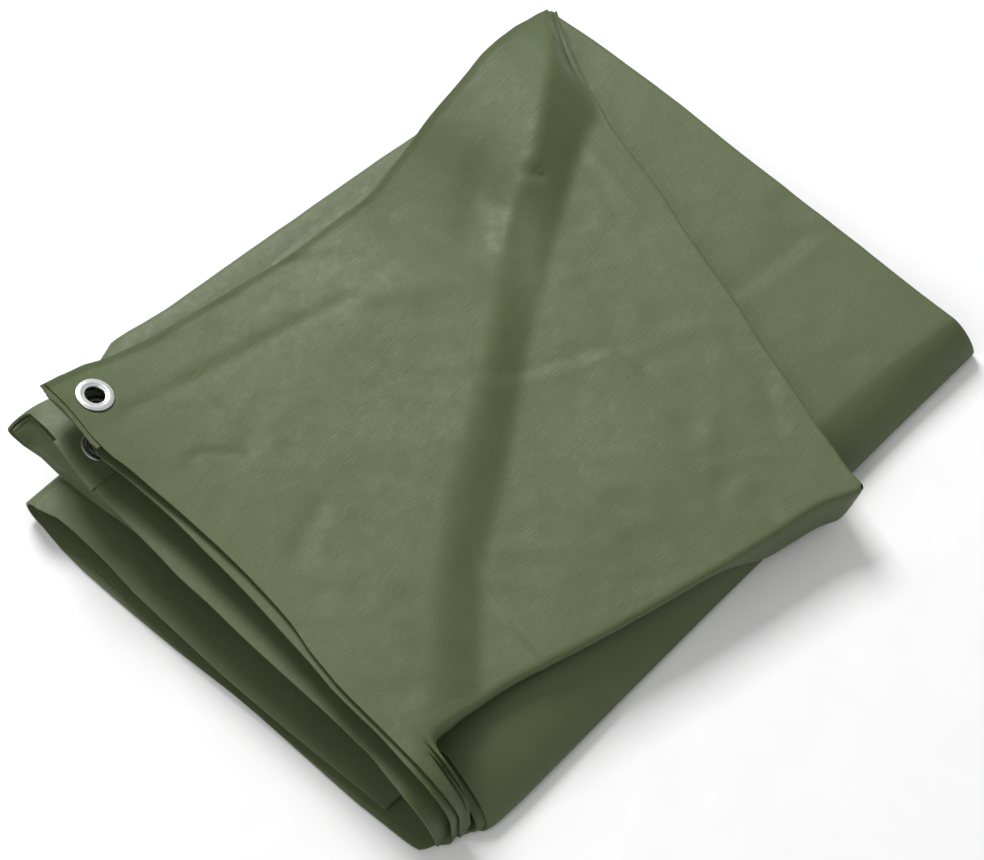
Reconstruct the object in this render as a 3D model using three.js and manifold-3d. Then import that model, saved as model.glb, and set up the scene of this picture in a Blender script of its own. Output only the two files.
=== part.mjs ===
// Folded poly tarp: a hemmed sheet doubled into a two-ply strip, then folded back and forth in
// five runs. Millimetres, +Z up, lying on Z = 0, with the origin at the middle of the footprint.
// The hems are on the -X side, the fold that doubles the strip is on the +X side, and the strip
// runs to and fro along Y.
import * as THREE from 'three';
import { mergeVertices } from 'three/addons/utils/BufferGeometryUtils.js';
import Module from 'manifold-3d';

const wasm = await Module();
wasm.setup();

// Cloth
const PLY = 1.5; // thickness of one ply
const PRESSED_GAP = 2.8; // between the middles of two plies that are pressed together
const CLEARANCE = 0.3; // between pieces that touch

// How the stack opens towards the hems: the lift falls off from a line near them into the stack
const LIFT_FROM_X = -200;
const LIFT_LENGTH = 85;
const PLY_OPENING_LENGTH = 70;
const LOW_END_Y = -150;
const HIGH_END_Y = 180;

// The soft step across the top run, from its far corner to its near corner, and the hump by the
// far corner
const STEP_SLOPE = 0.681;
const STEP_Y_AT_ZERO = -3;
const STEP_WIDTH = 40;
const STEP_HEIGHT = 8;
const HUMP_HEIGHT = 14;
const HUMP_X = 168;
const HUMP_SPREAD = 40;

// The near corner of the two upper runs, which hangs down over the end of the lower ones
const NOSE_X = -176;
const FOOT_X = -201;
const SHOULDER_Y = -130;
const HANG_LENGTH = 48;
const HANG_ANGLE = THREE.MathUtils.degToRad(80);
const HANG_RADIUS = 18;
const HANG_BASE_Z = 34;
const HANG_PRESSING = 0.5;
const HANG_ROWS_SHARE = 0.16; // of a run, in which its stations spread out along the hanging part

// The loose loop at the overhanging tip of the top fold
const LOOP_SAG = 13;
const LOOP_FROM_X = 10;
const LOOP_LENGTH = 70;
const LOOP_FROM_Y = -168;
const LOOP_DEPTH_Y = 17;

// The bottom run's corner, drawn in where the upper runs hang down in front of it
const CORNER_CUT = 28;
const CORNER_CUT_SHARE = 0.02; // of the run

// The ends of the runs in Y, each to the outside of the fold there: at the hems, halfway across
// the strip and at the strip's own fold
const EDGES = [
  { name: 'top free edge', y: [180, 156, 160] },
  { name: 'top fold', y: [-122, -149, -190] },
  { name: 'second fold', y: [190, 170, 158] },
  { name: 'outer wrap', y: [-169, -171, -173] },
  { name: 'bottom fold', y: [164, 162, 160] },
  { name: 'inner free edge', y: [-118, -128, -138] },
];

// The runs of the strip, from the top one down along the strip. The hem and fold columns give X
// at the start, middle and end of a run; outer is the ply that is on top in the first run.
// flat, liftHigh and liftLow give the height of the middle of the strip, gapHigh and gapLow how
// far its two plies stand apart at the hems, and shares the stations along the run.
const RUNS = [
  {
    name: 'top', outerHem: [-186, -188, -203], innerHem: [-189, -193, -206], fold: [218, 154, 96],
    flat: 38.2, liftHigh: 38.5, liftLow: 10, gapHigh: 15, gapLow: 4,
    shares: stations(0, 0.84, 9, [0.88, 0.91, 0.93, 0.95, 0.97, 0.985, 1]),
  },
  {
    name: 'return', outerHem: [-204, -207, -209], innerHem: [-213, -213, -200], fold: [94, 156, 220],
    flat: 32, liftHigh: 19, liftLow: 6, gapHigh: 12, gapLow: 5,
    shares: [0, 0.015, 0.03, 0.05, 0.07, 0.09, 0.12, 0.16, ...stations(0.36, 1, 3, [])],
  },
  {
    name: 'second', outerHem: [-209, -196, -184], innerHem: [-204, -193, -184], fold: [226, 229.5, 229.5],
    flat: 25.8, liftHigh: 12, liftLow: 3.5, gapHigh: 4.5, gapLow: 3.5,
    shares: stations(0, 1, 5, []),
  },
  {
    name: 'bottom', outerHem: [-222, -227, -230], innerHem: [-218, -224, -226], fold: [229.5, 229.5, 229.5],
    flat: 2.15, liftHigh: 0, liftLow: 0, gapHigh: 2.8, gapLow: 2.8,
    shares: [0, 0.01, 0.02, ...stations(0.1, 1, 4, [])],
  },
  {
    name: 'inner', outerHem: [-229, -225, -222], innerHem: [-225, -221, -218], fold: [229.5, 228, 226],
    flat: 11, liftHigh: 7, liftLow: 3, gapHigh: 5, gapLow: 3.5,
    shares: stations(0, 1, 4, []),
  },
];
const FOLD_STEPS = [6, 6, 7, 6];
const ACROSS = [0, 0.012, 0.024, 0.036, 0.048, 0.062, 0.09, 0.16, 0.26, 0.37, 0.49, 0.61, 0.73, 0.87, 1];
const HEM_OFFSET_SHARE = 0.048;
const CAP_STEPS = 4;

// The reinforcing tabs, each on one ply of one run, and the place of the eyelet in each. before
// and after are the tab's reach along the hem from the eyelet, towards +Y and towards -Y, taper
// is how much shorter before is at the inner edge, and face is the side the flange is on.
const TAB_THICKNESS = 2;
const TAB_INNER_REACH = 22;
const CUT_HEIGHT = 6; // of the room cut out of the cloth for a tab
const CUT_BEYOND_HEM = 14;
const TABS = [
  {
    name: 'top', run: 0, ply: 1, x: -172, y: 155, before: 25, after: 14, outer: 15.5, taper: 9,
    openEnd: true, face: 1,
  },
  {
    name: 'under', run: 0, ply: -1, x: -175, y: 151, before: 29, after: 14, outer: 15.5, taper: 9,
    openEnd: true, face: -1,
  },
  {
    name: 'lower', run: 1, ply: -1, x: -184, y: 142, before: 19, after: 19, outer: 23, taper: 0,
    openEnd: false, face: 1,
  },
];

// Eyelets and their washers
const BORE_RADIUS = 5.7;
const BARREL_RADIUS = 6.2;
const FLANGE_RADIUS = 11.35;
const FLANGE_EDGE = 0.4; // height of the flange at its rims
const FLANGE_CROWN = 0.8; // and between them
const FLANGE_SLOPE = 2; // width of the slope from the outer rim to the crown
const MOUTH_ROUNDING = 1.2;
const EDGE_ROUNDING = 0.3;
const LIP_RADIUS = 7.4;
const LIP_THICKNESS = 0.5;
const WASHER_RADIUS = 10.6;
const WASHER_THICKNESS = 0.5;
const EYELET_FACETS = 20;

function stations(from, to, steps, more) {
  const even = Array.from({ length: steps + 1 }, (_, index) => from + ((to - from) * index) / steps);
  return [...even, ...more];
}

const smooth = (value) => THREE.MathUtils.smoothstep(value, 0, 1);
const lerp = THREE.MathUtils.lerp;

// Value at a share of the curve through three values at 0, 0.5 and 1
function throughThree([start, middle, end], share) {
  return start * (1 - share) * (1 - 2 * share) + 4 * middle * share * (1 - share)
    + end * share * (2 * share - 1);
}

// Nought at the -Y end and one at the +Y end, where the stack is lifted most
function highEndShare(y) {
  const share = THREE.MathUtils.clamp((y - LOW_END_Y) / (HIGH_END_Y - LOW_END_Y), 0, 1);
  return share * share;
}

// Height of the soft step over the flat level, at a point of the top run
function stepHeight(x, y) {
  const distance = (y - STEP_SLOPE * x - STEP_Y_AT_ZERO) / Math.hypot(1, STEP_SLOPE);
  const height = STEP_HEIGHT + HUMP_HEIGHT * Math.exp(-(((x - HUMP_X) / HUMP_SPREAD) ** 2));
  return height * smooth(distance / STEP_WIDTH + 0.5);
}

// Height of the middle of the strip in a run, at a point seen from above
function runHeight(index, x, y) {
  const run = RUNS[index];
  const lift = Math.exp((LIFT_FROM_X - x) / LIFT_LENGTH);
  const raised = lerp(run.liftLow, run.liftHigh, highEndShare(y)) * lift;
  return run.flat + raised + (index === 0 ? stepHeight(x, y) : 0);
}

function plyGap(index, x, y) {
  const run = RUNS[index];
  const atHem = lerp(run.gapLow, run.gapHigh, highEndShare(y) ** 2);
  const opening = Math.exp(Math.min(0, (LIFT_FROM_X - x) / PLY_OPENING_LENGTH));
  return PRESSED_GAP + (atHem - PRESSED_GAP) * opening;
}

// Share of the hanging near corner that is reached at x: none at the nose, all at the foot
const hangShare = (x) => smooth((NOSE_X - x) / (NOSE_X - FOOT_X));

// How much further the near corner reaches at x, before it is bent down, at a share of the way
// along one of the two runs that meet there
function hangReach(index, share, x) {
  if (index > 1) {
    return 0;
  }
  const fromFold = index === 0 ? 1 - share : share;
  return HANG_LENGTH * hangShare(x) * Math.max(0, 1 - fromFold / HANG_ROWS_SHARE);
}

// The side on which an edge lies: +1 at the +Y ends and -1 at the -Y ends
const edgeSide = (edge) => (edge % 2 === 0 ? 1 : -1);

// Room that a fold takes between the end of a run and the fold's outside
function foldRoom(edge, x, y) {
  if (edge === 0 || edge === RUNS.length) {
    return 0;
  }
  const radius = Math.abs(runHeight(edge - 1, x, y) - runHeight(edge, x, y)) / 2;
  const gap = (plyGap(edge - 1, x, y) + plyGap(edge, x, y)) / 2;
  return radius + (gap + PLY) / 2;
}

// X that the stations across the strip are counted from: a ply's own hem there, and the middle
// between the two hems a little way in from it
function hemX(index, ply, share, across) {
  const run = RUNS[index];
  const outer = throughThree(run.outerHem, share);
  const inner = throughThree(run.innerHem, share);
  const own = ply > 0 ? outer : inner;
  return lerp((outer + inner) / 2, own, Math.max(0, 1 - across / HEM_OFFSET_SHARE));
}

function cornerCut(index, share) {
  return RUNS[index].name === 'bottom' ? CORNER_CUT * (1 - smooth(share / CORNER_CUT_SHARE)) : 0;
}

// X and Y of the middle of the strip, at a share of the way along a run and across the strip
function runPlan(index, share, across, ply) {
  const hem = hemX(index, ply, share, across) + cornerCut(index, share);
  const x = lerp(hem, throughThree(RUNS[index].fold, share) - (PRESSED_GAP + PLY) / 2, across);
  const [startY, endY] = [index, index + 1].map((edge) => {
    const outside = throughThree(EDGES[edge].y, across);
    return outside - edgeSide(edge) * foldRoom(edge, x, outside);
  });
  return { x, y: lerp(startY, endY, share) - hangReach(index, share, x) };
}

// How far the loose loop at the tip of the top fold hangs below its flat form
function loopSag(x, y) {
  return LOOP_SAG * smooth((x - LOOP_FROM_X) / LOOP_LENGTH) * smooth((LOOP_FROM_Y - y) / LOOP_DEPTH_Y);
}

function runPoint(index, share, across, ply) {
  const { x, y } = runPlan(index, share, across, ply);
  const sag = index === 1 ? loopSag(x, y) : 0;
  return { x, y, z: runHeight(index, x, y), sag, gap: plyGap(index, x, y), hangs: index < 2 };
}

// The points strictly between two runs, round the fold that joins them
function foldPoints(index, across, ply) {
  const from = runPlan(index, 1, across, ply);
  const to = runPlan(index + 1, 0, across, ply);
  const fromZ = runHeight(index, from.x, from.y);
  const toZ = runHeight(index + 1, to.x, to.y);
  const bulge = (edgeSide(index + 1) * Math.abs(fromZ - toZ)) / 2;
  const points = [];
  for (let step = 1; step < FOLD_STEPS[index]; step += 1) {
    const share = step / FOLD_STEPS[index];
    const fallen = (1 - Math.cos(Math.PI * share)) / 2;
    const x = lerp(from.x, to.x, share);
    const y = lerp(from.y, to.y, share) + bulge * Math.sin(Math.PI * share);
    const sag = index === 0 ? loopSag(x, y) * fallen : 0;
    const gap = lerp(plyGap(index, from.x, from.y), plyGap(index + 1, to.x, to.y), share);
    points.push({ x, y, z: lerp(fromZ, toZ, fallen), sag, gap, hangs: index === 0 });
  }
  return points;
}

// Gives each point of a section line its unit normal, the mean of the two chords that meet
// there. The normals point to the side of the outer ply.
function addNormals(line) {
  const chords = line.slice(1).map((point, index) => {
    const y = point.y - line[index].y;
    const z = point.z - line[index].z;
    const length = Math.hypot(y, z);
    return { y: y / length, z: z / length };
  });
  line.forEach((point, index) => {
    const before = chords[Math.max(index - 1, 0)];
    const after = chords[Math.min(index, chords.length - 1)];
    const y = before.z + after.z;
    const z = -before.y - after.y;
    const length = Math.hypot(y, z);
    point.normalY = y / length;
    point.normalZ = z / length;
  });
  return line;
}

// One section of the strip: the points along its middle, at one share of the way across
function sectionLine(across, ply) {
  const line = [];
  RUNS.forEach((run, index) => {
    line.push(...run.shares.map((share) => runPoint(index, share, across, ply)));
    if (index < RUNS.length - 1) {
      line.push(...foldPoints(index, across, ply));
    }
  });
  return addNormals(line);
}

// Bends a point of the two upper runs down over the end of the lower ones, near the foot
function hangDown(point) {
  const reach = SHOULDER_Y - point.y;
  const angle = HANG_ANGLE * hangShare(point.x);
  if (reach <= 0 || angle <= 0) {
    return point;
  }
  const turned = Math.min(reach / HANG_RADIUS, angle);
  const straight = reach - turned * HANG_RADIUS;
  const pressed = 1 - (HANG_PRESSING * turned) / HANG_ANGLE;
  const radius = HANG_RADIUS + (point.z - HANG_BASE_Z) * pressed;
  const y = SHOULDER_Y - radius * Math.sin(turned) - straight * Math.cos(turned);
  const z = HANG_BASE_Z - HANG_RADIUS + radius * Math.cos(turned) - straight * Math.sin(turned);
  return new THREE.Vector3(point.x, y, z);
}

// A point of the cloth off the middle of the strip: offset is towards the outer ply and forward
// is towards the strip's own fold
function offMiddle(middle, offset, forward) {
  const y = middle.y + middle.normalY * offset;
  const z = middle.z + middle.normalZ * offset;
  const point = new THREE.Vector3(middle.x + forward, y, z - middle.sag);
  return middle.hangs ? hangDown(point) : point;
}

// The columns of one face of the doubled sheet: across the outer ply, round the strip's own fold
// and back across the inner ply. face is 1 for the outside and -1 for the inside.
function faceColumns(face) {
  const reach = (middle) => (middle.gap + face * PLY) / 2;
  const outer = ACROSS.map((across) => sectionLine(across, 1));
  const inner = ACROSS.map((across) => sectionLine(across, -1)).reverse();
  const columns = outer.map((line) => line.map((middle) => offMiddle(middle, reach(middle), 0)));
  for (let step = 1; step < CAP_STEPS; step += 1) {
    const angle = (Math.PI * step) / CAP_STEPS;
    columns.push(inner[0].map((middle) => {
      const radius = reach(middle);
      return offMiddle(middle, radius * Math.cos(angle), radius * Math.sin(angle));
    }));
  }
  columns.push(...inner.map((line) => line.map((middle) => offMiddle(middle, -reach(middle), 0))));
  return columns;
}

// A closed mesh from two grids of points, the outside and the inside of one bent sheet
function sheetGeometry(outside, inside) {
  const columnCount = outside.length;
  const rowCount = outside[0].length;
  const corner = (side, column, row) => (side * columnCount + column) * rowCount + row;
  const triangles = [];
  // Two triangles that share the line from b to d
  const quad = (a, b, c, d) => triangles.push(b, c, d, b, d, a);
  const rim = (columnA, rowA, columnB, rowB) => quad(corner(0, columnA, rowA), corner(1, columnA, rowA),
    corner(1, columnB, rowB), corner(0, columnB, rowB));
  // All faces over one another are split along the same line, so that they stay apart
  const splitFace = (side, column, row) => {
    const near = corner(side, column, row);
    const nearEnd = corner(side, column, row + 1);
    const farEnd = corner(side, column + 1, row + 1);
    const far = corner(side, column + 1, row);
    const around = side === 0 ? [near, nearEnd, farEnd, far] : [near, far, farEnd, nearEnd];
    const doubledBack = column >= (columnCount - 1) / 2;
    quad(...(doubledBack ? [around[1], around[2], around[3], around[0]] : around));
  };
  for (let column = 0; column < columnCount - 1; column += 1) {
    for (let row = 0; row < rowCount - 1; row += 1) {
      splitFace(0, column, row);
      splitFace(1, column, row);
    }
    rim(column + 1, 0, column, 0);
    rim(column, rowCount - 1, column + 1, rowCount - 1);
  }
  for (let row = 0; row < rowCount - 1; row += 1) {
    rim(0, row, 0, row + 1);
    rim(columnCount - 1, row + 1, columnCount - 1, row);
  }
  const geometry = new THREE.BufferGeometry().setFromPoints([...outside.flat(), ...inside.flat()]);
  geometry.setIndex(triangles);
  return geometry;
}

// A closed geometry with its shared corners merged becomes a solid that can be cut
function toSolid(geometry) {
  const bare = geometry.clone();
  bare.deleteAttribute('normal');
  bare.deleteAttribute('uv');
  const merged = mergeVertices(bare, 1e-4);
  return new wasm.Manifold(new wasm.Mesh({
    numProp: 3,
    vertProperties: new Float32Array(merged.attributes.position.array),
    triVerts: new Uint32Array(merged.index.array),
  }));
}

function toGeometry(solid) {
  const { vertProperties, triVerts } = solid.getMesh();
  const geometry = new THREE.BufferGeometry();
  geometry.setAttribute('position', new THREE.BufferAttribute(vertProperties, 3));
  geometry.setIndex(new THREE.BufferAttribute(triVerts, 1));
  return geometry;
}

// Place of a tab: the eyelet's centre on the middle of the ply, X into the stack, Y along the
// hem towards +Y and Z square to the ply, upwards
function tabPlace(tab) {
  const point = (shiftX, shiftY) => {
    const x = tab.x + shiftX;
    const y = tab.y + shiftY;
    const sideUp = tab.run % 2 === 0 ? tab.ply : -tab.ply;
    return new THREE.Vector3(x, y, runHeight(tab.run, x, y) + (sideUp * plyGap(tab.run, x, y)) / 2);
  };
  const span = 10;
  const inward = point(span, 0).sub(point(-span, 0)).normalize();
  const alongHem = point(0, span).sub(point(0, -span));
  const up = new THREE.Vector3().crossVectors(inward, alongHem).normalize();
  const along = new THREE.Vector3().crossVectors(up, inward);
  return new THREE.Matrix4().makeBasis(inward, along, up).setPosition(point(0, 0));
}

// A flat plate in a tab's own frame: its outline from the two reaches in X and the two in Y, the
// further one of which is shorter by the taper at the inner edge
function plateGeometry(outer, inner, after, before, taper, thickness) {
  const outline = new THREE.Shape([
    new THREE.Vector2(-outer, -after),
    new THREE.Vector2(inner, -after),
    new THREE.Vector2(inner, before - taper),
    new THREE.Vector2(-outer, before),
  ]);
  const plate = new THREE.ExtrudeGeometry(outline, { depth: thickness, bevelEnabled: false });
  return plate.translate(0, 0, -thickness / 2);
}

function tabGeometry(tab) {
  const plate = plateGeometry(tab.outer, TAB_INNER_REACH, tab.after, tab.before, tab.taper, TAB_THICKNESS);
  const punch = new THREE.CylinderGeometry(BARREL_RADIUS + CLEARANCE, BARREL_RADIUS + CLEARANCE,
    2 * TAB_THICKNESS, EYELET_FACETS);
  return toGeometry(toSolid(plate).subtract(toSolid(punch.rotateX(Math.PI / 2))));
}

// The room cut out of the cloth for a tab, open past the hem and, at a corner, past the end
function tabRoom(tab) {
  const beyondEnd = tab.openEnd ? CUT_BEYOND_HEM : CLEARANCE;
  return plateGeometry(tab.outer + CUT_BEYOND_HEM, TAB_INNER_REACH + CLEARANCE, tab.after + CLEARANCE,
    tab.before + beyondEnd, 0, CUT_HEIGHT);
}

// Profiles are turned about Y, then stood up so that the axis is Z
function turned(profile) {
  const points = profile.map(([radius, height]) => new THREE.Vector2(radius, height));
  points.push(points[0].clone());
  return new THREE.LatheGeometry(points, EYELET_FACETS).rotateX(Math.PI / 2);
}

// A crowned flange over the tab, a barrel through it and a rolled lip under the washer
function eyeletGeometry() {
  const seat = TAB_THICKNESS / 2 + CLEARANCE;
  const lipTop = seat + WASHER_THICKNESS + CLEARANCE;
  return turned([
    [BORE_RADIUS + EDGE_ROUNDING, -lipTop - LIP_THICKNESS],
    [LIP_RADIUS - EDGE_ROUNDING, -lipTop - LIP_THICKNESS],
    [LIP_RADIUS, -lipTop],
    [BARREL_RADIUS, -lipTop],
    [BARREL_RADIUS, seat],
    [FLANGE_RADIUS, seat],
    [FLANGE_RADIUS - EDGE_ROUNDING, seat + FLANGE_EDGE],
    [FLANGE_RADIUS - FLANGE_SLOPE, seat + FLANGE_CROWN],
    [BORE_RADIUS + MOUTH_ROUNDING, seat + FLANGE_CROWN],
    [BORE_RADIUS, seat + FLANGE_EDGE],
    [BORE_RADIUS, -lipTop - LIP_THICKNESS / 2],
  ]);
}

function washerGeometry() {
  const top = -TAB_THICKNESS / 2 - CLEARANCE;
  return turned([
    [BARREL_RADIUS + CLEARANCE, top - WASHER_THICKNESS],
    [WASHER_RADIUS, top - WASHER_THICKNESS],
    [WASHER_RADIUS, top],
    [BARREL_RADIUS + CLEARANCE, top],
  ]);
}

const clothMaterial = () => new THREE.MeshStandardMaterial({ color: 0x6a765a, roughness: 0.6, metalness: 0 });
const tabMaterial = () => new THREE.MeshStandardMaterial({ color: 0x727e62, roughness: 0.55, metalness: 0 });
const metalMaterial = () => new THREE.MeshStandardMaterial({ color: 0xd9dadb, roughness: 0.3, metalness: 1 });

function addPiece(parent, name, geometry, material) {
  const piece = new THREE.Mesh(geometry, material);
  piece.name = name;
  parent.add(piece);
}

function clothGeometry() {
  let cloth = toSolid(sheetGeometry(faceColumns(1), faceColumns(-1)));
  TABS.forEach((tab) => {
    cloth = cloth.subtract(toSolid(tabRoom(tab).applyMatrix4(tabPlace(tab))));
  });
  return toGeometry(cloth);
}

// A tab with its eyelet and washer, turned over where the flange is underneath
function fittings(tab) {
  const metal = new THREE.Group();
  metal.rotation.x = tab.face > 0 ? 0 : Math.PI;
  addPiece(metal, `eyelet_${tab.name}`, eyeletGeometry(), metalMaterial());
  addPiece(metal, `washer_${tab.name}`, washerGeometry(), metalMaterial());
  const group = new THREE.Group();
  addPiece(group, `eyelet_tab_${tab.name}`, tabGeometry(tab), tabMaterial());
  group.add(metal);
  group.applyMatrix4(tabPlace(tab));
  return group;
}

const tarp = new THREE.Group();
addPiece(tarp, 'tarp_cloth', clothGeometry(), clothMaterial());
TABS.forEach((tab) => tarp.add(fittings(tab)));

export default tarp;
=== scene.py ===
import math

import bpy
import numpy as np
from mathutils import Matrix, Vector


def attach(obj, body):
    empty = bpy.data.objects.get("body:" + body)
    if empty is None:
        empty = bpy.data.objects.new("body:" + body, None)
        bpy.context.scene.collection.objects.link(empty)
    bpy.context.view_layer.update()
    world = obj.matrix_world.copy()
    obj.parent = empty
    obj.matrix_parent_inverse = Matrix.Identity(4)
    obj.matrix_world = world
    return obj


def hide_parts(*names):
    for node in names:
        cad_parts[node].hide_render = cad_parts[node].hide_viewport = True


# Folded poly tarp. The cloth is one thin hemmed sheet, doubled into a strip of two plies and
# folded back and forth in five runs. Shapes are worked out in millimetres in the CAD's frame:
# the hems are on the -X side, the fold that doubles the strip is on the +X side, and the strip
# runs to and fro along Y. Meshes are written in metres.
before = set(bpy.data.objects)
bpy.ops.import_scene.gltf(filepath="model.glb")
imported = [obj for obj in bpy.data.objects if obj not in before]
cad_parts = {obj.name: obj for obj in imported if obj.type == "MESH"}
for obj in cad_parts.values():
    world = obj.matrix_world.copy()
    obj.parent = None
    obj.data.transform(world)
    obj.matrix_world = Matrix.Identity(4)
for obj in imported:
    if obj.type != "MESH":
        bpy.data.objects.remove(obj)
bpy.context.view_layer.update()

MM = 0.001
FAR = 1e9  # further than anything is

# Cloth
CLOTH = 0.9  # thickness of the sheet
HEM_EXTRA = 0.7  # how much thicker it is where the hem is turned in
HEM_WIDTH = 37.0
HEM_FADE = 3.0  # over which the hem's extra thickness ends
PRESSED_GAP = 2.8  # between the middles of two plies that are pressed together

# How the stack opens towards the hems
LIFT_FROM_X = -200.0
LIFT_LENGTH = 85.0
PLY_OPENING_LENGTH = 70.0
LOW_END_Y = -150.0
HIGH_END_Y = 180.0

# The fold behind the hems of the middle runs is pinched flat where it meets their hem
PINCH_Y = (150.0, 188.0)
PINCH_X = (-150.0, -200.0)
PINCH_Z = {1: 47.6, 2: 42.8}
PINCH_GAP = 3.2

# The third run's hem droops past this X, between these two Y, and less and less towards them
DROOP_FROM_X = -196.5
DROOP_SLOPE = 1.3
DROOP_LOW_Y = 60.0
DROOP_LOW_LENGTH = 90.0
DROOP_HIGH_Y = 189.0
DROOP_HIGH_LENGTH = 12.0

# The near corner of the two upper runs, which hangs down over the end of the lower ones
NOSE_X = -186.0
FOOT_X = -204.0
SHOULDER_Y = -130.0
HANG_LENGTH = 58.6
HANG_ANGLE = math.radians(80)
HANG_RADIUS = 18.0
HANG_BASE_Z = 34.0
HANG_PRESSING = 0.5
HANG_ROWS_SHARE = 0.16

# The loose loop at the overhanging tip of the top fold
LOOP_SAG = 26.0
LOOP_FROM_X = -15.0
LOOP_LENGTH = 55.0
LOOP_FROM_Y = -156.0
LOOP_DEPTH_Y = 20.0

# The top fold has a sharp crest over a face that draws back, and its overhanging tip is pinched
CREST_SHARE = 0.32
CREST_POWER = 0.62
TIP_FROM_X = 85.0
TIP_LENGTH = 14.0
TIP_FROM_Y = -158.0
TIP_DEPTH_Y = 26.0
TIP_PINCH = 6.0

# The second fold is done with its way along X this many times as early as with its way round
SECOND_FOLD_HASTE = 1.7

# The outer wrap leans out as it falls: its section is a superellipse down to a tight bend
WRAP_BEND = 2.85
WRAP_POWER = 1.5
WRAP_STEPS = 13


def smooth(value):
    value = np.clip(value, 0.0, 1.0)
    return value * value * (3 - 2 * value)


def lerp(start, end, share):
    return start + (end - start) * share


def curve(points):
    """A smooth function of x through (x, y) points that runs level past its ends."""
    xs, ys = np.array(points, float).T
    chords = np.diff(ys) / np.diff(xs)
    slopes = np.zeros(len(xs))
    same = chords[1:] * chords[:-1] > 0
    mean = 2 * chords[1:] * chords[:-1] / np.where(same, chords[1:] + chords[:-1], 1)
    slopes[1:-1] = np.where(same, mean, 0)
    slopes[0] = chords[0]
    slopes[-1] = chords[-1]

    def value(x):
        x = np.clip(x, xs[0], xs[-1])
        at = np.clip(np.searchsorted(xs, x, side="right") - 1, 0, len(xs) - 2)
        width = xs[at + 1] - xs[at]
        share = (x - xs[at]) / width
        return (
            ys[at] * (1 + 2 * share) * (1 - share) ** 2
            + slopes[at] * width * share * (1 - share) ** 2
            + ys[at + 1] * share * share * (3 - 2 * share)
            - slopes[at + 1] * width * share * share * (1 - share)
        )

    return value


# Y of the ends of the runs along X, each to the outside of the fold there
EDGES = [
    curve([(-230, 178.5), (-189, 178.1), (-164, 175.8), (-151, 171.9), (-136, 168.8), (-124, 166.2),
           (-114, 164.8), (-101, 163.4), (-87, 161.5), (-68, 158.6), (-56, 156.7), (-44, 154.9),
           (-35, 153.4), (-16, 150.9), (0, 149.7), (16, 148.6), (31, 147.4), (43, 147.6), (55, 149),
           (71, 151.4), (96, 155.4), (125, 158.8), (144, 161), (161, 163.2), (181, 163.4),
           (200, 162.6), (230, 163)]),
    curve([(-205, -122), (-172, -122), (-139, -126), (-88, -141), (-34, -156), (-11, -162),
           (35, -174), (71, -182), (98, -192), (230, -192)]),
    curve([(-230, 191.5), (-195, 191.5), (-172, 187.5), (-156, 184), (-145, 184), (-138, 190.5),
           (-132, 194), (-120, 193.3), (-112, 191.9), (-104, 190.3), (-95, 188.7), (-74, 186.5),
           (-51, 184.4), (-21, 181.8), (9, 178), (40, 174.7), (72, 171.2), (106, 166.5), (150, 164),
           (190, 166), (215, 170), (230, 171.5)]),
    curve([(-230, -157), (-222, -158), (-215, -159.5), (-209, -161), (-203, -163), (-195, -166.2),
           (-188, -167.9), (-165, -169), (-96, -169.2), (-15, -169.8), (23, -170.3), (118, -172.2),
           (163, -172.8), (190, -173.4), (230, -174.2)]),
    curve([(-230, 164), (0, 162), (230, 160)]),
    curve([(-230, -118), (0, -128), (230, -138)]),
]

# Where the two upper runs begin and how far they go along Y, as the shares along their hems
# count it, and how long the last run is
TOP_RUN_Y = 180.0
TOP_RUN_LENGTH = 302.0
SECOND_RUN_Y = -122.0
SECOND_RUN_LENGTH = 310.0
LAST_RUN_LENGTH = 285.0

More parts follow.
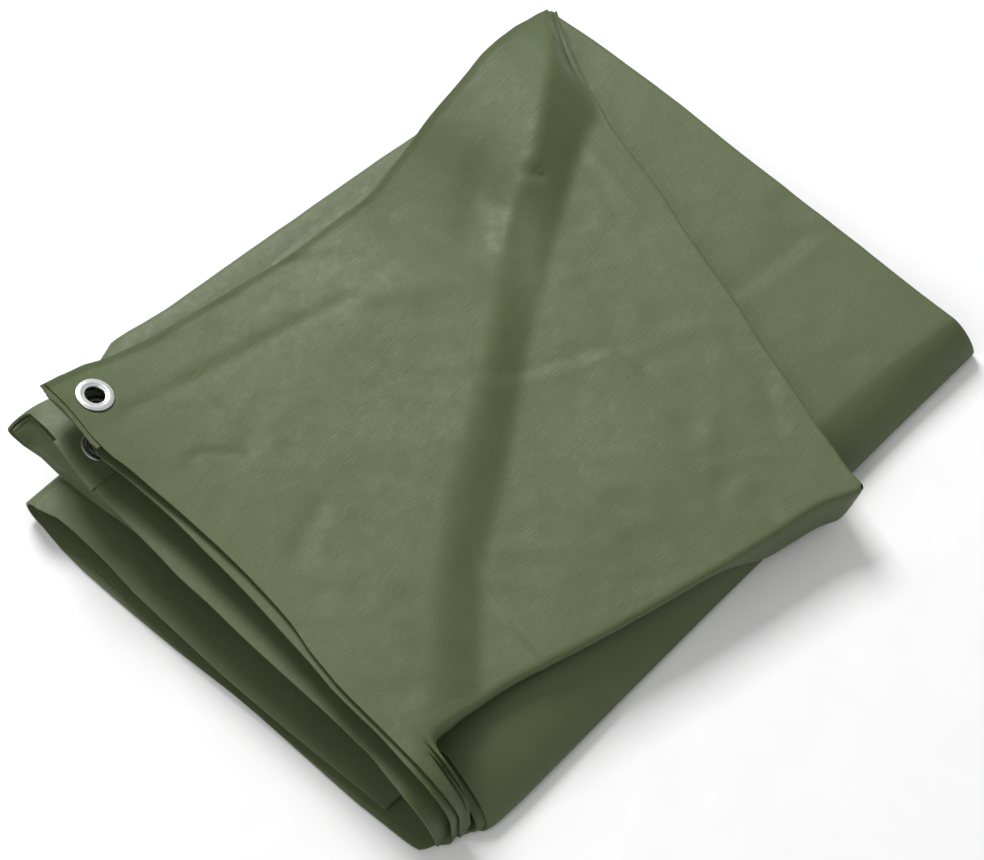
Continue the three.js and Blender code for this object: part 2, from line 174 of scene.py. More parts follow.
# The runs of the strip. X of the hems and of the strip's own fold are given at shares of the way
# along the run. flat and lift give the height of the middle of the strip, gap how far its two
# plies stand apart at the hems, low end first, and uneven how much of the cloth's unevenness shows.
RUNS = [
    dict(
        outer_hem=curve([(0, -188.8), (0.05, -188.8), (0.116, -190.6), (0.156, -192.2),
                         (0.194, -192.2), (0.241, -190.4), (0.313, -189.3), (0.384, -188.3),
                         (0.46, -188.1), (0.524, -188.4), (0.609, -189.9), (0.691, -192.7),
                         (0.759, -197.3), (0.826, -200.4), (0.86, -202.1), (0.9, -203.4),
                         (0.95, -205.4), (0.976, -203.6), (1, -204)]),
        inner_hem=curve([(0, -189), (0.11, -190.8), (0.185, -195.5), (0.221, -194.6),
                         (0.258, -193.7), (0.292, -193.3), (0.363, -192.9), (0.456, -194.2),
                         (0.542, -195.3), (0.626, -197.2), (0.705, -199.5), (0.765, -201.3),
                         (0.828, -203.9), (0.862, -205.3), (0.893, -205.9), (0.931, -208.6),
                         (0.95, -209.6), (1, -209)]),
        fold=curve([(0, 226.8), (0.06, 214), (0.149, 198), (0.195, 191.5), (0.24, 185),
                    (0.288, 180), (0.336, 175.5), (0.386, 170.5), (0.465, 160), (0.561, 149),
                    (0.615, 143), (0.713, 130), (0.765, 124), (0.826, 117), (0.869, 111.5),
                    (0.921, 106), (0.978, 100), (1, 99)]),
        flat=36.8, lift=(10.0, 36.9), gap=(4.0, 15.0), uneven=0.9,
    ),
    dict(
        outer_hem=curve([(0, -204), (0.16, -206), (0.5, -206.5), (0.75, -204.5), (0.9, -200),
                         (1, -198)]),
        inner_hem=curve([(0, -218), (0.011, -218.4), (0.029, -219.6), (0.052, -219.1),
                         (0.065, -217.5), (0.0815, -215.9), (0.102, -213.4), (0.17, -212),
                         (0.28, -211.8), (0.373, -211.5), (0.478, -210.6), (0.527, -210.8),
                         (0.605, -209.2), (0.713, -207.6), (0.77, -206.3), (0.82, -204.3),
                         (0.9, -200), (0.96, -197.5), (1, -197)]),
        fold=curve([(0, 98), (0.13, 110), (0.3, 128), (0.44, 147), (0.535, 158), (0.66, 173),
                    (0.75, 183), (0.85, 195), (0.94, 209), (1, 217)]),
        flat=32.0, lift=(6.0, 19.0), gap=(5.0, 12.0), uneven=0.6,
    ),
    dict(
        outer_hem=curve([(0, -210), (0.02, -207.2), (0.04, -205), (0.11, -204.5), (0.5, -196),
                         (0.9, -184), (1, -182)]),
        inner_hem=curve([(0, -211.5), (0.02, -208.6), (0.04, -206.2), (0.11, -205.8), (0.5, -199),
                         (0.9, -190), (1, -188.5)]),
        fold=curve([(0, 230.5), (0.12, 232.5), (0.3, 232.5), (0.5, 230.5), (0.75, 229.2),
                    (0.93, 227.6), (1, 227.6)]),
        flat=25.8, lift=(3.5, 12.0), gap=(3.5, 4.5), uneven=0.6,
    ),
    dict(
        outer_hem=curve([(0, -194), (0.005, -204), (0.01, -214), (0.016, -221.5), (0.022, -224.3),
                         (0.05, -225.8), (0.123, -227), (0.178, -227.9), (0.4, -228),
                         (0.508, -228.8), (0.57, -230.4), (0.63, -231.4), (0.75, -232.6),
                         (0.865, -233), (0.92, -232.4), (0.975, -231), (1, -229.5)]),
        inner_hem=curve([(0, -198), (0.01, -206), (0.022, -215), (0.034, -218.5), (0.1, -222),
                         (0.5, -225), (0.8, -228.5), (1, -226)]),
        fold=curve([(0, 230.5), (1, 230.5)]),
        flat=2.15, lift=(0.0, 0.0), gap=(2.8, 2.8), uneven=0.0,
    ),
    dict(
        outer_hem=curve([(0, -229), (0.03, -225.5), (0.08, -224), (0.2, -224.5), (0.28, -226.5),
                         (0.5, -227), (1, -222)]),
        inner_hem=curve([(0, -226), (0.05, -222), (0.5, -222), (1, -218)]),
        fold=curve([(0, 229.5), (0.5, 228), (1, 226)]),
        flat=9.0, lift=(-1.5, 10.0), gap=(3.0, 4.5), uneven=0.3,
    ),
]

# How far the outer wrap leans out, across the strip
WRAP_REACH = curve([(-190, 38), (-60, 34), (60, 30), (150, 26), (230, 17)])

# The soft step across the top run: its foot and its crest, Y along X, and how high the raised
# part stands over the flap
STEP_FOOT = curve([(-230, -190), (-160, -130), (-140, -112), (-99, -75), (-81, -62), (-52, -45),
                   (-25, -27), (3, -8), (31, 10), (60, 28), (80, 39), (108, 55), (129, 67),
                   (146, 76), (170, 87), (186, 93), (192, 104), (201, 129), (208, 142), (218, 157),
                   (230, 175)])
STEP_CREST = curve([(-230, -150), (-165, -104), (-144, -87), (-122, -67), (-98, -48), (-71, -30),
                    (-42, -13), (-13, 4), (16, 22), (43, 43), (66, 61), (85, 75), (104, 83), (122, 90),
                    (163, 115), (202, 143), (212, 155), (218, 163), (230, 182)])
STEP_HEIGHT = 11.0
STEP_LEAST_WIDTH = 4.0

# Towards the hump the step turns from soft to crisp: how much of its width its foot and its crest
# are rounded over
CRISP_FROM_X = 55.0
CRISP_LENGTH = 45.0
FOOT_ROUNDING = (0.16, 0.1)
CREST_ROUNDING = (0.3, 0.04)

# Beside the hump the raised part sags behind its crest and rises again towards the free edge:
# height against the share of the way from the crest to that edge
SADDLE = curve([(-0.3, 0), (0, -4), (0.16, -6.3), (0.26, -6.3), (0.6, -1.5), (1, 4), (1.2, 5)])
SADDLE_X = 90.0
SADDLE_LENGTH = 34.0
SADDLE_LEAST_REACH = 20.0

# The free edge of the top run curls up a little, and its lower ply shows beyond the upper one
LIP_HEIGHT = 0.95
LIP_WIDTH = 2.6
LIP_END_X = 200.0
LIP_FADE = 30.0
LOWER_PLY_BEYOND = curve([(-62, 0), (-35, 2.5), (-16, 5.6), (7, 7.4), (30, 8), (46, 7), (60, 2),
                          (72, 0)])

# The peaked hump by the far corner: X of its foot along Y, its first crest, the low skirt before
# its foot, and its height along X from that crest
HUMP_FOOT = curve([(60, 98), (78, 96), (92, 90), (106, 82), (130, 80), (160, 80), (175, 78)])
HUMP_CREST_X = 117.0
HUMP_CREST_HEIGHT = 7.3
HUMP_SKIRT = 1.0
HUMP_SKIRT_LENGTH = 45.0
HUMP_ROUNDING = (0.18, 0.08)
HUMP = curve([(117, 7.3), (134, 9.2), (150, 11), (163, 11.6), (180, 10.7), (192, 9), (203, 5.6),
              (218, -1.4), (230, -3.5)])


def ramp(value, low, high):
    """Nought below 0 and one above 1, with its corners rounded over low and high on each side."""
    rising = np.where(value < low, (value + low) ** 2 / (4 * low), value)
    falling = 1 - (1 + high - value) ** 2 / (4 * high)
    result = np.where(value > 1 - high, falling, rising)
    return np.where(value <= -low, 0.0, np.where(value >= 1 + high, 1.0, result))


def hump_height(x, y):
    foot = HUMP_FOOT(y)
    rise = ramp((x - foot) / (HUMP_CREST_X - foot), *HUMP_ROUNDING)
    skirt = smooth((x - foot + HUMP_SKIRT_LENGTH) / HUMP_SKIRT_LENGTH)
    height = skirt * HUMP_SKIRT + rise * (HUMP_CREST_HEIGHT - HUMP_SKIRT)
    return height + np.where(x > HUMP_CREST_X, HUMP(x) - HUMP_CREST_HEIGHT, 0)


def step_height(x, y):
    """Height of the raised part over the flap's level, at a point of the top run."""
    foot, crest = STEP_FOOT(x), STEP_CREST(x)
    crisp = smooth((x - CRISP_FROM_X) / CRISP_LENGTH)
    climbed = (y - foot) / np.maximum(crest - foot, STEP_LEAST_WIDTH)
    share = ramp(climbed, lerp(*FOOT_ROUNDING, crisp), lerp(*CREST_ROUNDING, crisp))
    return (STEP_HEIGHT + hump_height(x, y)) * share


def high_end_share(y):
    share = np.clip((y - LOW_END_Y) / (HIGH_END_Y - LOW_END_Y), 0, 1)
    return share * share


# Creases pressed into the cloth: a polyline in X and Y, half width, height (troughs are
# negative) and, for a break in slope, how far the cloth falls from its left to its right side,
# which fades over some half widths
CREASE_FADE = 4.0
TOP_CREASES = [
    ([(124, 84), (117, 87)], 2.4, -3.4, 0.0),
    ([(114, 90), (106, 94)], 3.0, -0.8, 0.0),
    ([(110, 91), (92, 79), (76, 68)], 3.6, 0.9, 0.0),
    ([(84, 160), (84, 130), (91, 106)], 11.0, -1.4, 0.0),
    ([(44, 124), (50, 106), (56, 86), (64, 60)], 22.0, -2.0, 0.0),
    ([(56, 86), (44, 104), (40, 120)], 9.0, -0.5, 0.5),
    ([(40, 62), (14, 82), (-8, 100)], 11.0, 0.9, 0.0),
    ([(-162, 138), (-139, 133), (-109, 128), (-79, 122), (-49, 115), (-20, 107)], 4.0, -0.8, 0.5),
    ([(-40, 122), (-10, 110), (10, 104)], 7.0, -0.6, 0.0),
    ([(-30, 152), (-10, 138), (10, 118)], 3.5, -0.5, 0.3),
    ([(-160, 92), (-152, 91), (-134, 72)], 2.6, -0.8, 0.3),
    ([(-160, 8), (-146, 14), (-128, 20)], 6.5, -0.8, 0.0),
    ([(-100, 20), (-80, -2), (-70, -30)], 8.0, -0.5, 0.0),
    ([(-90, -68), (-94, -79), (-98, -92), (-102, -103), (-105, -116), (-107, -129)], 2.6, 0.7, 0.8),
    ([(10, 2), (18, -2), (42, -16), (64, -27)], 2.8, 0.7, -0.5),
    ([(64, -27), (66, -42)], 2.6, 0.4, -0.3),
    ([(120, -72), (116, -102)], 6.0, -0.7, 0.0),
    ([(110, -109), (94, -132)], 5.0, -0.7, 0.0),
    ([(187, 94), (179, 64), (172, 34), (165, 13)], 2.4, -0.5, 0.3),
    ([(164, 84), (157, 54), (149, 24)], 2.2, 0.4, 0.0),
    ([(155, 84), (148, 56), (138, 30)], 2.4, -0.4, 0.0),
    ([(90, 10), (70, -40), (62, -90)], 9.0, -0.6, 0.0),
]
LOWER_CREASES = [
    ([(204, -58), (185, -54), (167, -53), (148, -50)], 2.8, -0.8, 0.5),
]


def crease_height(creases, x, y):
    total = np.zeros(np.broadcast(x, y).shape)
    for points, width, height, fall in creases:
        nearest = np.full(total.shape, FAR)
        side = np.zeros(total.shape)
        for (ax, ay), (bx, by) in zip(points, points[1:]):
            length = np.hypot(bx - ax, by - ay)
            ux, uy = (bx - ax) / length, (by - ay) / length
            along = np.clip((x - ax) * ux + (y - ay) * uy, 0, length)
            away = np.hypot(x - ax - along * ux, y - ay - along * uy)
            left = (x - ax) * -uy + (y - ay) * ux
            closer = away < nearest
            nearest = np.where(closer, away, nearest)
            side = np.where(closer, np.sign(left) * away, side)
        bell = np.exp(-((nearest / width) ** 2))
        wide = np.exp(-((nearest / (CREASE_FADE * width)) ** 2))
        total = total + height * bell + fall * np.tanh(side / width) * wide
    return total


def waves(seed, count, shortest, longest):
    """A smooth random function of X and Y from plane waves of those lengths, about unit high."""
    rng = np.random.default_rng(seed)
    angles = rng.uniform(0, math.tau, count)
    lengths = rng.uniform(shortest, longest, count)
    phases = rng.uniform(0, math.tau, count)

    def value(x, y):
        total = np.zeros(np.broadcast(x, y).shape)
        for angle, length, phase in zip(angles, lengths, phases):
            along = x * math.cos(angle) + y * math.sin(angle)
            total = total + np.sin(along * math.tau / length + phase)
        return total / math.sqrt(count / 2)

    return value


BROAD = waves(seed=3, count=14, shortest=70, longest=160)
BROAD_HEIGHT = 0.5
RUMPLE = waves(seed=11, count=18, shortest=28, longest=60)
RUMPLE_HEIGHT = 0.35
FINE_RUMPLE = waves(seed=12, count=18, shortest=22, longest=44)
FINE_RUMPLE_HEIGHT = 0.22
RIDGE_TOP = 1.1
RIDGE_ROUNDING = 0.05
PATCHY = waves(seed=21, count=10, shortest=60, longest=120)
PATCHY_SHARE = 0.35


def ridges(wave):
    """Soft ridges along the lines where a wave is nought."""
    return RIDGE_TOP - np.sqrt(wave ** 2 + RIDGE_ROUNDING)


def unevenness(x, y):
    """The cloth's own unevenness: broad sag and a net of soft creases, stronger in some places."""
    broad = BROAD_HEIGHT * BROAD(x, y)
    net = RUMPLE_HEIGHT * ridges(RUMPLE(x, y)) + FINE_RUMPLE_HEIGHT * ridges(FINE_RUMPLE(x, y))
    return broad + net * (1 - PATCHY_SHARE + PATCHY_SHARE * np.clip(PATCHY(x, y), -1, 1))


def tip_share(x, y):
    return smooth((x - TIP_FROM_X) / TIP_LENGTH) * smooth((TIP_FROM_Y - y) / TIP_DEPTH_Y)


def pinch_share(x, y):
    along = smooth((y - PINCH_Y[0]) / (PINCH_Y[1] - PINCH_Y[0]))
    return along * smooth((x - PINCH_X[0]) / (PINCH_X[1] - PINCH_X[0]))


def saddle_height(x, y):
    share = (y - STEP_CREST(x)) / np.maximum(EDGES[0](x) - STEP_CREST(x), SADDLE_LEAST_REACH)
    return SADDLE(share) * np.exp(-(((x - SADDLE_X) / SADDLE_LENGTH) ** 2))


def lip_height(x, y):
    bell = np.exp(-(((EDGES[0](x) - y) / LIP_WIDTH) ** 2))
    return LIP_HEIGHT * bell * smooth((LIP_END_X - x) / LIP_FADE)


def run_height(index, x, y):
    """Height of the middle of the strip in a run, at a point seen from above."""
    run = RUNS[index]
    lift = np.exp((LIFT_FROM_X - x) / LIFT_LENGTH)
    height = run["flat"] + lerp(*run["lift"], high_end_share(y)) * lift
    if index == 0:
        height = height + step_height(x, y) + crease_height(TOP_CREASES, x, y)
        height = height + lip_height(x, y) + saddle_height(x, y)
    if index == 2:
        height = height + crease_height(LOWER_CREASES, x, y)
    if index in PINCH_Z:
        height = lerp(height, PINCH_Z[index], pinch_share(x, y))
    if index == 1:
        height = height + TIP_PINCH * tip_share(x, y)
    if index == 2:
        droop = smooth((DROOP_HIGH_Y - y) / DROOP_HIGH_LENGTH)
        droop = droop * smooth((y - DROOP_LOW_Y) / DROOP_LOW_LENGTH)
        height = height - DROOP_SLOPE * np.maximum(0, DROOP_FROM_X - x) * droop
    return height + unevenness(x, y) * run["uneven"]


def ply_gap(index, x, y):
    """How far the middles of a run's two plies stand apart."""
    at_hem = lerp(*RUNS[index]["gap"], high_end_share(y) ** 2)
    opening = np.exp(np.minimum(0, (LIFT_FROM_X - x) / PLY_OPENING_LENGTH))
    gap = PRESSED_GAP + (at_hem - PRESSED_GAP) * opening
    return lerp(gap, PINCH_GAP, pinch_share(x, y)) if index in PINCH_Z else gap


def hang_share(x):
    return smooth((NOSE_X - x) / (NOSE_X - FOOT_X))


def hang_reach(index, share, x):
    if index > 1:
        return 0.0
    from_fold = 1 - share if index == 0 else share
    return HANG_LENGTH * hang_share(x) * np.maximum(0, 1 - from_fold / HANG_ROWS_SHARE)


def edge_side(edge):
    return 1 if edge % 2 == 0 else -1


def fold_room(index, edge, x, y):
    """Room that a fold takes between the end of a run and the fold's outside."""
    if edge in (0, len(RUNS)):
        return 0.0
    radius = np.abs(run_height(edge - 1, x, y) - run_height(edge, x, y)) / 2
    if edge == 3:
        radius = WRAP_REACH(x) if index == 2 else WRAP_BEND
    gap = (ply_gap(edge - 1, x, y) + ply_gap(edge, x, y)) / 2
    return radius + (gap + CLOTH) / 2


# Stations across a ply, in millimetres from its hem on a strip that is FULL_WIDTH wide
FULL_WIDTH = 410.0
NEAR_WIDTH = 60.0
LAST_STEP = 1.2  # next to the fold that doubles the strip


def stations_across(near_hem, count):
    beyond = list(np.linspace(NEAR_WIDTH, FULL_WIDTH, count)[1:-1])
    return near_hem + beyond + [FULL_WIDTH - LAST_STEP, FULL_WIDTH]


FINE = stations_across(
    [0, 1.5, 3.5, 6.5, 10, 13.5, 17, 20.5, 24, 27.5, 31, 34.5, 37, 39.5, 43, 46.5, 50, 53.5, 57, 60], 98)
COARSE = stations_across([0, 2, 5, 9, 13, 17, 21, 26, 31, 35, 38, 41, 47, 53, 60], 43)
CAP_STEPS = 6
HEM_BLEND = 20.0  # over which the two plies' hems part


def place_across(hem, fold, across):
    near = hem + across
    inner = hem + NEAR_WIDTH
    far = lerp(inner, fold, (across - NEAR_WIDTH) / (FULL_WIDTH - NEAR_WIDTH))
    return np.where(across <= NEAR_WIDTH, near, far)


def run_plan(index, share, across, ply):
    """X and Y of the middle of the strip. Shares change along the second axis, stations across
    along the first."""
    run = RUNS[index]
    outer, inner = run["outer_hem"](share), run["inner_hem"](share)
    own = outer if ply > 0 else inner
    hem = lerp((outer + inner) / 2, own, np.maximum(0, 1 - across / HEM_BLEND))
    x = place_across(hem, run["fold"](share) - (PRESSED_GAP + CLOTH) / 2, across)
    start, end = (EDGES[edge](x) for edge in (index, index + 1))
    if index == 0 and ply < 0:
        start = start + LOWER_PLY_BEYOND(x)
    start = start - edge_side(index) * fold_room(index, index, x, start)
    end = end - edge_side(index + 1) * fold_room(index, index + 1, x, end)
    return x, lerp(start, end, share) - hang_reach(index, share, x)


def loop_sag(x, y):
    sag = LOOP_SAG * smooth((x - LOOP_FROM_X) / LOOP_LENGTH) * smooth((LOOP_FROM_Y - y) / LOOP_DEPTH_Y)
    return sag * (1 - tip_share(x, y))


# Stations along the strip: the shares of each run and the steps of each fold. Runs and parts of
# runs that are marked thin have half as many stations across.
RUN_SHARES = [
    np.concatenate([[0, 0.005, 0.01, 0.015, 0.021, 0.03],
                    np.linspace(0.042, 0.84, 70), np.linspace(0.84, 1, 23)[1:]]),
    np.concatenate([np.linspace(0, 0.16, 21), np.linspace(0.16, 1, 34)[1:]]),
    np.linspace(0, 1, 64),
    np.concatenate([[0, 0.005, 0.01, 0.016, 0.022, 0.028, 0.034, 0.044, 0.056, 0.075],
                    np.linspace(0.1, 1, 15)]),
    np.linspace(0, 1, 22),
]
FOLD_STEPS = [14, 8, 18, 8]
THIN_FROM = [None, 22, None, 11, 0]


def strip_stations():
    """One entry for each station along the strip: (run or fold, index, share, thin)."""
    found = []
    for index, shares in enumerate(RUN_SHARES):
        first_thin = THIN_FROM[index]
        for number, share in enumerate(shares):
            found.append(("run", index, share, first_thin is not None and number >= first_thin))
        if index < len(FOLD_STEPS):
            for step in range(1, FOLD_STEPS[index]):
                found.append(("fold", index, step / FOLD_STEPS[index], index == 3))
    return found


STATIONS = strip_stations()


def wrap_section(share, from_y, from_z, to_y, to_z):
    """The outer wrap's section: out and down along a superellipse, then round a tight bend."""
    step = share * FOLD_STEPS[2]
    lean = np.clip(step / WRAP_STEPS, 0, 1) * math.pi / 2
    bend = np.clip((step - WRAP_STEPS) / (FOLD_STEPS[2] - WRAP_STEPS), 0, 1) * math.pi / 2
    outside = to_y - WRAP_BEND
    low = to_z + WRAP_BEND
    out = np.sin(lean) ** (2 / WRAP_POWER)
    over = np.abs(np.cos(lean)) ** (2 / WRAP_POWER)
    y = from_y + (outside - from_y) * out
    z = low + (from_z - low) * over
    y = np.where(bend > 0, outside + WRAP_BEND * (1 - np.cos(bend)), y)
    return y, np.where(bend > 0, low - WRAP_BEND * np.sin(bend), z)


def run_block(index, across, ply):
    """A run's X, Y, Z, sag in the loop, gap between its plies, and whether its near corner hangs."""
    x, y = run_plan(index, RUN_SHARES[index][None, :], across, ply)
    z = run_height(index, x, y)
    sag = loop_sag(x, y) if index == 1 else np.zeros_like(x)
    return x, y, z, sag, ply_gap(index, x, y), np.full_like(x, index < 2)


def fold_block(index, across, ply):
    """The same for the fold that follows a run."""
    share = np.arange(1, FOLD_STEPS[index])[None, :] / FOLD_STEPS[index]
    from_x, from_y = run_plan(index, np.ones((1, 1)), across, ply)
    to_x, to_y = run_plan(index + 1, np.zeros((1, 1)), across, ply)
    from_z = run_height(index, from_x, from_y)
    to_z = run_height(index + 1, to_x, to_y)
    bulge = edge_side(index + 1) * np.abs(from_z - to_z) / 2
    fallen = (1 - np.cos(np.pi * share)) / 2
    x = lerp(from_x, to_x, share if index != 1 else smooth(share * SECOND_FOLD_HASTE))
    round_share = share if index != 0 else share ** (math.log(0.5) / math.log(CREST_SHARE))
    round_power = 1.0 if index != 0 else CREST_POWER
    y = lerp(from_y, to_y, share) + bulge * np.sin(np.pi * round_share) ** round_power
    z = lerp(from_z, to_z, fallen)
    if index == 2:
        y, z = wrap_section(share, from_y, from_z, to_y, to_z)
    sag = loop_sag(x, y) * fallen if index == 0 else np.zeros_like(x)
    gap = lerp(ply_gap(index, from_x, from_y), ply_gap(index + 1, to_x, to_y), share)
    return x, y, z, sag, gap, np.full_like(x, index == 0)


def middle_line(across, ply):
    """The middle of the strip at each station across (rows) and along (columns)."""
    across = np.asarray(across, float)[:, None]
    blocks = []
    for index in range(len(RUNS)):
        blocks.append(run_block(index, across, ply))
        if index < len(FOLD_STEPS):
            blocks.append(fold_block(index, across, ply))
    return [np.concatenate(parts, axis=1) for parts in zip(*blocks)]


def section_normals(y, z):
    """Unit normals in the YZ plane, the mean of the two chords that meet, towards the outer ply."""
    dy, dz = np.diff(y, axis=1), np.diff(z, axis=1)
    length = np.hypot(dy, dz)
    dy, dz = dy / length, dz / length
    dy = np.concatenate([dy[:, :1], dy[:, 1:] + dy[:, :-1], dy[:, -1:]], axis=1)
    dz = np.concatenate([dz[:, :1], dz[:, 1:] + dz[:, :-1], dz[:, -1:]], axis=1)
    length = np.hypot(dy, dz)
    return dz / length, -dy / length


def hang_down(x, y, z, hangs):
    """Bends points of the two upper runs down over the end of the lower ones, near the foot."""
    reach = SHOULDER_Y - y
    angle = HANG_ANGLE * hang_share(x)
    moves = (reach > 0) & (angle > 0) & (hangs > 0.5)
    turned = np.minimum(np.maximum(reach, 0) / HANG_RADIUS, angle)
    straight = reach - turned * HANG_RADIUS
    pressed = 1 - HANG_PRESSING * turned / HANG_ANGLE
    radius = HANG_RADIUS + (z - HANG_BASE_Z) * pressed
    new_y = SHOULDER_Y - radius * np.sin(turned) - straight * np.cos(turned)
    new_z = HANG_BASE_Z - HANG_RADIUS + radius * np.cos(turned) - straight * np.sin(turned)
    return np.where(moves, new_y, y), np.where(moves, new_z, z)


def off_middle(middle, normals, offset, forward):
    """Points beside the middle of the strip, that far along its normals and along X."""
    x, y, z, sag, _, hangs = middle
    x = x + forward
    y, z = hang_down(x, y + normals[0] * offset, z + normals[1] * offset - sag, hangs)
    return np.stack([x, y, z], axis=-1)


# Eyelets: the run and ply each is in, its place, and the side its flange is on
EYELETS = [
    dict(name="top", run=0, ply=1, x=-172.0, y=155.0, face=1),
    dict(name="under", run=0, ply=-1, x=-175.0, y=151.0, face=-1),
    dict(name="lower", run=1, ply=-1, x=-184.0, y=142.0, face=1),
]
EYELET_HOLE = 8.0  # radius of the hole in the cloth, under the flange


def ply_side(run, ply):
    """One where the ply is the upper one of its run."""
    return ply if run % 2 == 0 else -ply


def ply_height(run, ply, x, y):
    return run_height(run, x, y) + ply_side(run, ply) * ply_gap(run, x, y) / 2


def ply_slope(run, ply, x, y):
    """How steeply a ply climbs along X and along Y."""
    reach = 5.0
    along_x = ply_height(run, ply, x + reach, y) - ply_height(run, ply, x - reach, y)
    along_y = ply_height(run, ply, x, y + reach) - ply_height(run, ply, x, y - reach)
    return along_x / (2 * reach), along_y / (2 * reach)


def hem_share(across):
    """One on a hem, nought off it: along the open edges, and at the two ends of the strip."""
    from_edge = np.asarray(across, float)[:, None]
    from_end = np.full(len(STATIONS), FAR)
    for number, (kind, index, share, _) in enumerate(STATIONS):
        if kind == "run" and index == 0:
            from_end[number] = share * TOP_RUN_LENGTH
        if kind == "run" and index == len(RUNS) - 1:
            from_end[number] = (1 - share) * LAST_RUN_LENGTH
    nearest = np.minimum(from_edge, from_end[None, :])
    return smooth((HEM_WIDTH + HEM_FADE / 2 - nearest) / HEM_FADE)


def cloth_columns():
    """Points of the sheet's outer and inner face, from one hem round the fold to the other."""
    outer_middle = middle_line(FINE, 1)
    inner_middle = middle_line(COARSE[::-1], -1)
    faces = []
    for face in (1, -1):
        parts = []
        for middle, across, ply in ((outer_middle, FINE, 1), (inner_middle, COARSE[::-1], -1)):
            normals = section_normals(middle[1], middle[2])
            thick = CLOTH / 2 if face > 0 else CLOTH / 2 + HEM_EXTRA * hem_share(across)
            reach = (middle[4] / 2 + face * thick) * ply
            parts.append(off_middle(middle, normals, reach, 0.0))
        fold = [part[:1] for part in inner_middle]
        normals = section_normals(fold[1], fold[2])
        radius = fold[4] / 2 + face * CLOTH / 2
        cap = []
        for step in range(1, CAP_STEPS):
            angle = math.pi * step / CAP_STEPS
            cap.append(off_middle(fold, normals, radius * math.cos(angle), radius * math.sin(angle)))
        faces.append(np.concatenate([parts[0], *cap, parts[1]], axis=0))
    return faces


def add_object(name, data):
    thing = bpy.data.objects.new(name, data)
    bpy.context.scene.collection.objects.link(thing)
    return thing


def thick_mesh(name, outside, inside, polygons):
    """A closed mesh from the points of its two faces and the polygons of the outer one, and
    which of those points it uses."""
    polygons = [list(polygon) for polygon in polygons]
    sides = set()
    for polygon in polygons:
        sides.update(zip(polygon, polygon[1:] + polygon[:1]))
    count = len(outside)
    rim = []
    for polygon in polygons:
        for start, end in zip(polygon, polygon[1:] + polygon[:1]):
            if (end, start) not in sides:
                rim.append([end, start, start + count, end + count])
    backs = [[point + count for point in reversed(polygon)] for polygon in polygons]
    everything = polygons + backs + rim
    points = np.concatenate([outside, inside], axis=0)
    used = np.zeros(len(points), bool)
    used[np.concatenate([np.array(polygon) for polygon in everything])] = True
    number = (np.cumsum(used) - 1).tolist()
    mesh = bpy.data.meshes.new(name)
    renumbered = [[number[point] for point in polygon] for polygon in everything]
    mesh.from_pydata((points[used] * MM).tolist(), [], renumbered)
    mesh.update()
    return mesh, used


def grid_polygons(columns, thin):
    """Quads and triangles of a grid, columns by stations. Between a station that has every
    column and one that has every other column, three triangles join two columns."""
    rows = len(thin)

    def at(column, row):
        return column * rows + row

    quads, triangles = [], []
    for row in range(rows - 1):
        after = row + 1
        if thin[row] == thin[after]:
            step = 2 if thin[row] else 1
            for left in range(0, columns - 1, step):
                right = left + step
                quads.append((at(left, row), at(left, after), at(right, after), at(right, row)))
            continue
        for left in range(0, columns - 1, 2):
            middle, right = left + 1, left + 2
            if thin[after]:
                triangles.append((at(left, row), at(left, after), at(middle, row)))
                triangles.append((at(middle, row), at(left, after), at(right, after)))
                triangles.append((at(middle, row), at(right, after), at(right, row)))
            else:
                triangles.append((at(left, row), at(left, after), at(middle, after)))
                triangles.append((at(left, row), at(middle, after), at(right, row)))
                triangles.append((at(right, row), at(middle, after), at(right, after)))
    return quads, triangles


def near_hole(points, quads, eyelet):
    """True for each quad whose middle lies inside the hole round the eyelet's axis."""
    away = points[quads].mean(axis=1)[:, :2] - (eyelet["x"], eyelet["y"])
    return np.hypot(*away.T) < EYELET_HOLE


def round_rim(faces, quads, gone, eyelet, slope=(0.0, 0.0)):
    """Draws the points between the quads that are gone and those that stay into a circle."""
    rim = np.intersect1d(quads[gone], quads[~gone])
    for points in faces:
        delta = points[rim, :2] - (eyelet["x"], eyelet["y"])
        moved = delta * (EYELET_HOLE / np.hypot(*delta.T)[:, None] - 1)
        points[rim, :2] += moved
        points[rim, 2] += moved[:, 0] * slope[0] + moved[:, 1] * slope[1]


def cut_holes(outside, inside, quads, columns, rows):
    """Leaves the quads round each eyelet's axis out of its own run and ply."""
    grid = np.arange(columns * rows).reshape(columns, rows)
    station_run = np.array([index if kind == "run" else -1 for kind, index, _, _ in STATIONS])
    quads = np.array(quads)
    drop = np.zeros(len(quads), bool)
    for eyelet in EYELETS:
        half = slice(0, len(FINE)) if eyelet["ply"] > 0 else slice(columns - len(COARSE), columns)
        member = np.zeros(columns * rows, bool)
        member[grid[half, station_run == eyelet["run"]]] = True
        gone = member[quads].all(axis=1) & near_hole(outside, quads, eyelet)
        slope = ply_slope(eyelet["run"], eyelet["ply"], eyelet["x"], eyelet["y"])
        round_rim((outside, inside), quads, gone, eyelet, slope)
        drop |= gone
    return quads[~drop].tolist()


# The station and the column along which the flat sheet's two sides are measured
MEASURED_STATION = 40
MEASURED_COLUMN = 60


def lengths_along(points):
    """How far each of a row of points is from the first, along the row."""
    return np.concatenate([[0], np.cumsum(np.linalg.norm(np.diff(points, axis=0), axis=1))])


